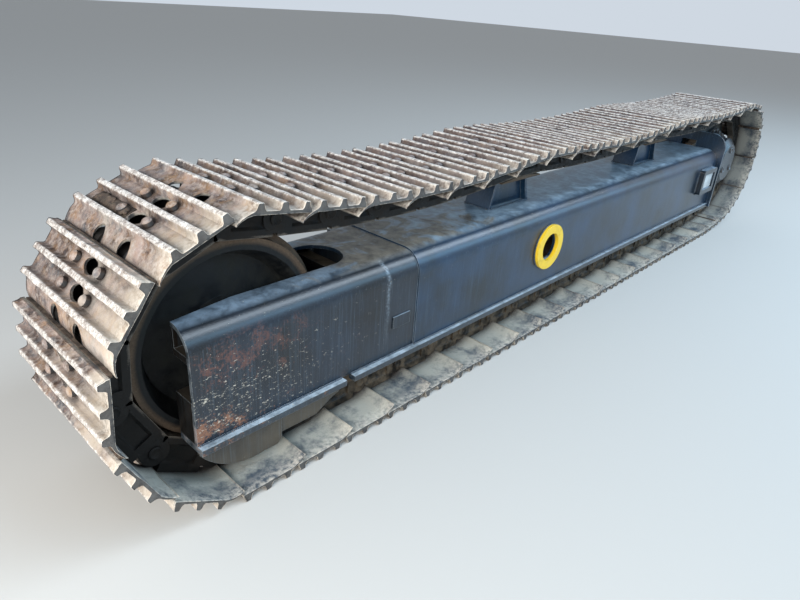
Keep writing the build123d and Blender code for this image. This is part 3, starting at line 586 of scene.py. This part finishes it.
    # Chips low on the front, and bare metal along edges and on the cut front
    dashes = add(tree, "Mapping", {"Vector": place, "Scale": (70.0, 70.0, 160.0)})
    hits = add(tree, "TexNoise", {"Vector": dashes, "Scale": 1.0, "Detail": 4.0, "Roughness": 0.8})
    low = add(tree, "MapRange", {"Value": where.outputs["Z"], "From Min": 0.34, "From Max": 0.50,
                                 "To Min": 0.085, "To Max": 0.0})
    above = add(tree, "MapRange", {"Value": where.outputs["Z"], "From Min": 0.222, "From Max": 0.240})
    panel = add(tree, "Math", {0: low, 1: above}, operation="MULTIPLY")
    hit_zone = add(tree, "Math", {0: front, 1: panel}, operation="MULTIPLY")
    chips = add(tree, "Math", {0: hit_zone, 1: hits}, operation="ADD")
    chip_fac = add(tree, "MapRange", {"Value": chips, "From Min": 0.70 - chip_share,
                                      "From Max": 0.74 - chip_share, "To Max": 0.85})
    chipped = add(tree, "Mix", {0: chip_fac, 6: rusted, 7: linear("b5b0a2")}, data_type="RGBA")
    cut = add(tree, "MapRange", {"Value": facing.outputs["X"], "From Min": -0.98, "From Max": -0.85,
                                 "To Min": 0.75, "To Max": 0.0})
    front_cut = add(tree, "Math", {0: cut, 1: front}, operation="MULTIPLY")
    bare = add(tree, "Math", {0: edge, 1: front_cut}, operation="MAXIMUM")
    ragged = add(tree, "Math", {0: bare, 1: blot}, operation="MULTIPLY")
    edge_fac = add(tree, "MapRange", {"Value": ragged, "From Min": 0.30, "From Max": 0.52, "To Max": 0.8})
    colour = add(tree, "Mix", {0: edge_fac, 6: chipped, 7: linear("8b959b")}, data_type="RGBA")

    # Dust, rust and mud are matt, the enamel between them still shines
    dull = add(tree, "Math", {0: dust_fac, 1: rust_side}, operation="MAXIMUM")
    matt = add(tree, "Math", {0: dull, 1: top_smear}, operation="MAXIMUM")
    rough = add(tree, "MapRange", {"Value": matt, "To Min": 0.30, "To Max": 0.9})
    orange_peel = add(tree, "Bump", {"Height": speck, "Strength": 0.25, "Distance": 0.001,
                                     "Normal": rounded})
    dinged = add(tree, "Bump", {"Height": blot, "Strength": 0.25, "Distance": 0.003, "Normal": orange_peel})
    connect(tree, shader, {"Base Color": colour, "Roughness": rough, "Normal": dinged, "Coat Weight": 0.3,
                           "Coat Roughness": 0.28})
    return material


rust_behind = -1.45
no_rust = -9.0
# The beam is dark blue with paler clouds and dusty tops, the nose nearly black, and the bars
# below are greyer and more scuffed. The guards are brown with mud, the yoke black with grease.
# The guides inside the nose share that black, which on them is painted shade.
enamel = sprayed_enamel("weathered_blue_black_enamel", "05151f", "11304b", "93a9b9", 0.85, rust_behind,
                        0.035)
coat(enamel, "main_beam", "drive_arch", "skid_pedestals", "abutment", "drive_plate", "front_mount",
     "rear_mount")
for name, dark, pale, dust, dust_share, rust_front, chip_share, parts in (
    ("stone_chipped_enamel", "060c13", "101f2e", "8ba1b4", 0.72, rust_behind, 0.03,
     ("nose", "splice_patch", "plate_guard")),
    ("scuffed_bar_enamel", "11171d", "2b3742", "a3b3bf", 0.95, -1.2, 0.05,
     ("chain_bars", "nose_floors", "roller_bars")),
    ("muddy_plate_steel", "1d1c19", "4b4437", "7d7059", 0.9, no_rust, 0.0, ("front_guard",)),
    # Black with grease on the yoke, and painted shade on the guides inside the nose
    ("greasy_and_shaded_yoke_steel", "0d0c0b", "241f1a", "3a342b", 0.8, no_rust, 0.0,
     ("tension_yoke", "roller_shafts", "idler_guides")),
):
    coat(sprayed_enamel(name, dark, pale, dust, dust_share, rust_front, chip_share), *parts)


# Wheels
# The idler, the bottom rollers and the sprocket are cast or forged and were painted once.
# Treads and teeth run bright, the webs stay dark under oily dust. Idler and rollers turn on
# fixed shafts, and the sprocket is screwed to the hub of the drive.
def rolling_steel(name, centres, bright_from, dark, dirt):
    """Dirty casting that is bright beyond a radius from the nearest of its wheel centres."""
    # Crust in patches of 60 mm, and grain as coarse as it needs to be to show, 5 mm
    material, tree, shader = new_material(name)
    place = add(tree, "TexCoord").outputs["Object"]
    crust = add(tree, "TexNoise", {"Vector": place, "Scale": 16.0, "Detail": 9.0, "Roughness": 0.7})
    grain = add(tree, "TexNoise", {"Vector": place, "Scale": 200.0, "Detail": 3.0, "Roughness": 0.7})
    crust_share = add(tree, "MapRange", {"Value": crust, "From Min": 0.42, "From Max": 0.66})
    crusty = add(tree, "Mix", {0: crust_share, 6: linear(dark), 7: linear(dirt)}, data_type="RGBA")
    nearest = None
    for x, z in centres:
        offset = add(tree, "Mapping", {"Vector": place, "Location": (-x, 0, -z), "Scale": (1, 0, 1)})
        away = add(tree, "VectorMath", {0: offset}, operation="LENGTH")
        nearest = away if nearest is None else add(tree, "Math", {0: nearest, 1: away}, operation="MINIMUM")
    ragged = add(tree, "Math", {0: crust, 1: 0.012, 2: nearest}, operation="MULTIPLY_ADD")
    rim = add(tree, "MapRange", {"Value": ragged, "From Min": bright_from, "From Max": bright_from + 0.012,
                                 "To Max": 0.8})
    worn = add(tree, "Mix", {0: grain, 6: linear("3b3129"), 7: linear("75624f")}, data_type="RGBA")
    colour = add(tree, "Mix", {0: rim, 6: crusty, 7: worn}, data_type="RGBA")
    shine = add(tree, "Math", {0: rim, 1: 0.4}, operation="MULTIPLY")
    rough = add(tree, "MapRange", {"Value": crust_share, "To Min": 0.5, "To Max": 0.9})
    soft_edge = add(tree, "Bevel", {"Radius": 0.003}, samples=4)
    lumps = add(tree, "Bump", {"Height": crust, "Strength": 0.5, "Distance": 0.004, "Normal": soft_edge})
    connect(tree, shader, {"Base Color": colour, "Metallic": shine, "Roughness": rough, "Normal": lumps,
                           "Specular IOR Level": 0.3})
    return material


idler_centre = (-1.8985, 0.4233)
sprocket_x, sprocket_z = 1.8985, 0.4353
idler_tread, sprocket_root, roller_tread = 0.272, 0.285, 0.071
roller_z = 0.2113
roller_first, roller_step, roller_count = -1.4805, 0.3699, 9
roller_centres = [(roller_first + roller_step * index, roller_z) for index in range(roller_count)]
# The idler's web is nearly black, the sprocket grey with rubbed teeth, the rollers brown with oil
coat(rolling_steel("worn_idler_casting", [idler_centre], idler_tread, "0c0f12", "202220"),
     "idler", "idler_axle")
coat(rolling_steel("worn_sprocket_teeth", [(sprocket_x, sprocket_z)], sprocket_root, "23282c", "5a5a55"),
     "sprocket")
coat(rolling_steel("oily_roller_steel", roller_centres, roller_tread, "221e19", "6f614e"), "bottom_rollers")

# The wear plates are rubbed bright all over, so the centre of their wear lies far below them
wear_depth = 2.0
coat(rolling_steel("polished_wear_plate", [(0.0, -wear_depth)], wear_depth, "2a2521", "4f463c"), "skids")

# Hub, motor and grease cylinder: nearly black enamel under thin dust, with a few chips
hub_paint = sprayed_enamel("dusty_hub_enamel", "050a10", "0f1b28", "3a434b", 0.4, no_rust, 0.07)
coat(hub_paint, "final_drive", "travel_motor", "tensioner")


# Ring and plate
# A thick ring of steel frames the access hole to the track adjuster. A blank plate of thin
# aluminium is riveted over packing in a welded guard frame near the drive end.

# Yellow enamel: strong and glossy, with brownish dirt that dulls it in patches of 30 mm
yellow, tree, shader = new_material("yellow_gloss_enamel")
place = add(tree, "TexCoord").outputs["Object"]
film = add(tree, "TexNoise", {"Vector": place, "Scale": 30.0, "Detail": 7.0, "Roughness": 0.7})
film_share = add(tree, "MapRange", {"Value": film, "From Min": 0.50, "From Max": 0.72, "To Max": 0.5})
colour = add(tree, "Mix", {0: film_share, 6: linear("e2bd2c"), 7: linear("8e7b3e")}, data_type="RGBA")
rough = add(tree, "MapRange", {"Value": film_share, "To Min": 0.28, "To Max": 0.8})
soft_edge = add(tree, "Bevel", {"Radius": 0.003}, samples=4)
connect(tree, shader, {"Base Color": colour, "Roughness": rough, "Normal": soft_edge})
coat(yellow, "access_ring")

# Weathered aluminium: pale grey and half matt, mottled in patches of 25 mm, with no print
aluminium, tree, shader = new_material("weathered_aluminium_plate")
place = add(tree, "TexCoord").outputs["Object"]
film = add(tree, "TexNoise", {"Vector": place, "Scale": 40.0, "Detail": 7.0, "Roughness": 0.7})
colour = add(tree, "Mix", {0: film, 6: linear("8f9597"), 7: linear("e6eaea")}, data_type="RGBA")
connect(tree, shader, {"Base Color": colour, "Metallic": 0.3, "Roughness": 0.45})
packing_depth = 0.019
rivet_inset = 0.010
(left, front, foot), (right, back, top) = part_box("blank_plate")
front -= packing_depth
plate = start("plate", "cube", size=1,
              location=((left + right) / 2, (front + back) / 2, (foot + top) / 2),
              scale=(right - left, back - front, top - foot))
finish(plate, "BEVEL", width=0.002, segments=2, limit_method="ANGLE")
rivet = start("rivet", "uv_sphere", segments=12, ring_count=6, radius=0.004)
rivet.data.transform(Matrix.Diagonal((1, 0.5, 1, 1)))
rivets = repeated("rivets", rivet, [Matrix.Translation((x, front, z))
                                    for z in (foot + rivet_inset, top - rivet_inset)
                                    for x in (left + rivet_inset, right - rivet_inset)])
fitted(together("riveted_plate", [plate, rivets]), aluminium, "plate_white", "blank_plate")


# Weld beads
# Beads of deposited metal run round the splice of nose and beam, along the bars, round the
# ring, the guard frame and the stands. They are painted over with the frame.
def bead_run(first, last, radius=0.004):
    """Beads laid side by side along a straight run."""
    run = Vector(last) - Vector(first)
    count = int(run.length / (1.5 * radius)) + 1
    bead = start("bead", "ico_sphere", subdivisions=1, radius=radius)
    bead.data.transform(Matrix.Translation(first))
    finish(bead, "ARRAY", count=count, use_relative_offset=False, use_constant_offset=True,
           constant_offset_displace=run / count)
    return bead


def bead_arc(centre, across, up, radius, first, last, size=0.004):
    """Beads laid side by side along an arc, between two angles in degrees."""
    count = int(radius * radians(last - first) / (1.5 * size)) + 1
    bead = start("bead", "ico_sphere", subdivisions=1, radius=size)
    spots = []
    for index in range(count + 1):
        angle = radians(first + (last - first) * index / count)
        spot = Vector(centre) + Vector(across) * radius * cos(angle) + Vector(up) * radius * sin(angle)
        spots.append(Matrix.Translation(spot))
    return repeated("bead_arc", bead, spots)


splice_x = -1.2615
seam_x = splice_x - 0.002
fine = 0.0025
nose_face, nose_top, nose_bar, beam_face = 0.1945, 0.5512, 0.1965, 0.2015
bend_y, bend_z, bend_radius = 0.1235, 0.480, 0.0712
bar_top, seam_foot, beam_end = 0.2185, 0.219, 1.570
beads = []
for side in (-1, 1):
    beads += [
        bead_run((seam_x, side * nose_face, seam_foot), (seam_x, side * nose_face, bend_z), fine),
        bead_arc((seam_x, side * bend_y, bend_z), (0, side, 0), (0, 0, 1), bend_radius, 0, 90, fine),
    ]
    for first, last, face in ((-2.076, -1.589, nose_bar), (-1.551, splice_x, nose_bar),
                              (splice_x, beam_end, beam_face)):
        beads.append(bead_run((first, side * face, bar_top), (last, side * face, bar_top)))
beads.append(bead_run((seam_x, -bend_y, nose_top), (seam_x, bend_y, nose_top), fine))
ring_x, ring_z, ring_radius = -0.4375, 0.386, 0.0995
beads.append(bead_arc((ring_x, -beam_face, ring_z), (1, 0, 0), (0, 0, 1), ring_radius, 0, 360))

# The beads of the guard frame stop short of its corners
stand_off, short_by = 0.002, 0.012
(left, _, foot), (right, _, top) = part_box("plate_guard")
for level in (foot - stand_off, top + stand_off):
    beads.append(bead_run((left + short_by, -beam_face, level), (right - short_by, -beam_face, level)))
for edge in (left - stand_off, right + stand_off):
    beads.append(bead_run((edge, -beam_face, foot + short_by), (edge, -beam_face, top - short_by)))

# Coarse beads go round the foot of each stand
stand_foot, coarse = 0.5585, 0.005
run_x, flank_y = 0.134, 0.061
end_x, run_y = 0.138, 0.058
for middle in (-0.5685, 0.7495):
    for side in (-1, 1):
        flank, end = side * flank_y, middle + side * end_x
        beads += [
            bead_run((middle - run_x, flank, stand_foot), (middle + run_x, flank, stand_foot), coarse),
            bead_run((end, -run_y, stand_foot), (end, run_y, stand_foot), coarse),
        ]
fitted(together("weld_beads", beads), enamel, "frame_paint")


# Fasteners of the drive
# Hexagon screws of zinc-plated steel hold the hub cover, the sprocket and the drive case. The
# cover has three threaded plugs for oil, and the motor has two port caps.
def round_drive(name, shape, count, radius, offset=0.5):
    """Copies of a shape, evenly spaced on a circle round the drive's axis."""
    spots = []
    for index in range(count):
        angle = 2 * pi * (index + offset) / count
        spots.append(Matrix.Translation((sprocket_x + radius * cos(angle), 0,
                                         sprocket_z + radius * sin(angle))))
    return repeated(name, shape, spots)


head_height = 0.010
cover_face, plug_circle, plug_offset = -0.180, 0.082, 0.75
case_face, case_circle = 0.143, 0.150
port_y, port_z, port_half_gap = 0.205, 0.144, 0.034
screws = []
# Number of screws, radius of their circle, level of their seat, radius of a head
for count, circle, seat, size in ((16, 0.169, -0.082, 0.0105), (20, 0.1935, -0.042, 0.0120)):
    head = start("head", "cylinder", vertices=6, radius=size, depth=head_height, rotation=crosswise,
                 location=(0, seat - head_height / 2, 0))
    inset_faces(head, lambda centre, normal: normal.y < -0.9, (0.002, 0.0015))
    screws.append(round_drive("heads", head, count, circle))
plug = start("plug", "cylinder", vertices=16, radius=0.019, depth=0.008, rotation=crosswise,
             location=(0, cover_face, 0))
inset_faces(plug, lambda centre, normal: normal.y < -0.9, (0.003, 0.002), (0.006, -0.005))
screws.append(round_drive("plugs", plug, 3, plug_circle, plug_offset))
inboard = start("head", "cylinder", vertices=6, radius=0.012, depth=0.012, rotation=crosswise,
                location=(0, case_face, 0))
screws.append(round_drive("inboard_heads", inboard, 18, case_circle))
for side in (-port_half_gap, port_half_gap):
    cap = start("cap", "cylinder", vertices=16, radius=0.017, depth=0.022,
                location=(sprocket_x + side, port_y, sprocket_z + port_z))
    inset_faces(cap, lambda centre, normal: normal.z > 0.9, (0.004, 0.003))
    screws.append(cap)

# Old zinc plate: dull grey metal, with brown film over it in patches of 17 mm
zinc, tree, shader = new_material("dulled_zinc_plate")
place = add(tree, "TexCoord").outputs["Object"]
film = add(tree, "TexNoise", {"Vector": place, "Scale": 60.0, "Detail": 7.0, "Roughness": 0.75})
film_share = add(tree, "MapRange", {"Value": film, "From Min": 0.42, "From Max": 0.60})
colour = add(tree, "Mix", {0: film_share, 6: linear("70757a"), 7: linear("4c443c")}, data_type="RGBA")
metal = add(tree, "MapRange", {"Value": film_share, "To Min": 0.9, "To Max": 0.1})
rough = add(tree, "MapRange", {"Value": film_share, "To Min": 0.4, "To Max": 0.85})
connect(tree, shader, {"Base Color": colour, "Metallic": metal, "Roughness": rough})
fitted(together("drive_fasteners", screws), zinc, "machined_steel")


# Dried mud
# Clay thrown up by the track has dried on the lower guides of the nose and between the
# grousers. Where the track bends it is packed into the joints of the shoes.
def mud_sheet(name, low, high, level, rise, size, step=0.009):
    """Crust on a flat face: uneven, thinning to nothing at its rim."""
    span_x, span_y = high[0] - low[0], high[1] - low[1]
    sheet = start(name, "grid", x_subdivisions=int(span_x / step), y_subdivisions=int(span_y / step),
                  size=1)
    sheet.data.transform(Matrix.Translation(((low[0] + high[0]) / 2, (low[1] + high[1]) / 2, level))
                         @ Matrix.Diagonal((span_x, span_y, 1, 1)))
    clay = bpy.data.textures.new(name, "CLOUDS")
    clay.noise_scale = size
    clay.noise_depth = 4
    finish(sheet, "DISPLACE", texture=clay, texture_coords="LOCAL", direction="Z", strength=rise,
           mid_level=0.42)
    for vertex in sheet.data.vertices:
        rim_x = abs(2 * (vertex.co.x - low[0]) / span_x - 1) ** 6
        rim_y = abs(2 * (vertex.co.y - low[1]) / span_y - 1) ** 6
        vertex.co.z = max(level - 0.005, vertex.co.z - 0.9 * rise * max(rim_x, rim_y))
    finish(sheet, "SOLIDIFY", thickness=0.004, offset=-1)
    return sheet


guide_level = 0.3475
mud = [
    mud_sheet("mud", (-2.075, -0.180), (-1.960, -0.112), guide_level, 0.020, 0.03),
    mud_sheet("mud", (-2.075, 0.112), (-1.960, 0.180), guide_level, 0.020, 0.03),
]
caked_link = link_frames[4]
caked_row = bolt_rows[0]
caked = mud_sheet("mud", (caked_row - 0.019, 0.030), (caked_row + 0.019, 0.215), shoe_face + 0.005,
                  0.016, 0.02, 0.005)
caked.data.transform(caked_link)
mud.append(caked)
round_idler, round_sprocket = link_frames[:6], link_frames[25:31]
for link in round_idler + round_sprocket:
    packing = start("packing", "cube", size=1, location=(0.089, 0, 0.0505), scale=(0.010, 0.470, 0.010))
    packing.data.transform(link)
    mud.append(packing)
random.seed(7)
for clump in range(30):
    radius = random.uniform(0.004, 0.008)
    row = caked_row + random.uniform(-0.012, 0.012)
    clod = start("clod", "ico_sphere", subdivisions=2, radius=radius)
    spot = Matrix.Translation((row, random.uniform(0.04, 0.20), shoe_face + 0.004))
    turn = Matrix.Rotation(random.uniform(0, pi), 4, "Z")
    clod.data.transform(caked_link @ spot @ turn @ Matrix.Diagonal((1.5, 1.0, 0.6, 1)))
    mud.append(clod)
mud = together("dried_mud", mud)
crumbs = bpy.data.textures.new("crumbs", "CLOUDS")
crumbs.noise_scale = 0.008
finish(mud, "DISPLACE", texture=crumbs, texture_coords="LOCAL", strength=0.0035, mid_level=0.5)

# Dried clay: tan skin over dark damp clay in 40 mm lumps, matt, with 4 mm crumbs
clay, tree, shader = new_material("dried_clay")
place = add(tree, "TexCoord").outputs["Object"]
lumps = add(tree, "TexNoise", {"Vector": place, "Scale": 24.0, "Detail": 9.0, "Roughness": 0.7,
                               "Distortion": 0.8})
grain = add(tree, "TexNoise", {"Vector": place, "Scale": 260.0, "Detail": 3.0, "Roughness": 0.7})
dry = add(tree, "MapRange", {"Value": lumps, "From Min": 0.40, "From Max": 0.60})
tone = add(tree, "Mix", {0: dry, 6: linear("211a15"), 7: linear("5a4d42")}, data_type="RGBA")
colour = add(tree, "Mix", {0: 0.3, 6: tone, 7: grain.outputs["Color"]}, data_type="RGBA",
             blend_type="OVERLAY")
crumbly = add(tree, "Bump", {"Height": lumps, "Strength": 0.7, "Distance": 0.006})
grainy = add(tree, "Bump", {"Height": grain, "Strength": 0.5, "Distance": 0.001, "Normal": crumbly})
connect(tree, shader, {"Base Color": colour, "Roughness": 0.95, "Normal": grainy})
fitted(mud, clay, "track_steel")
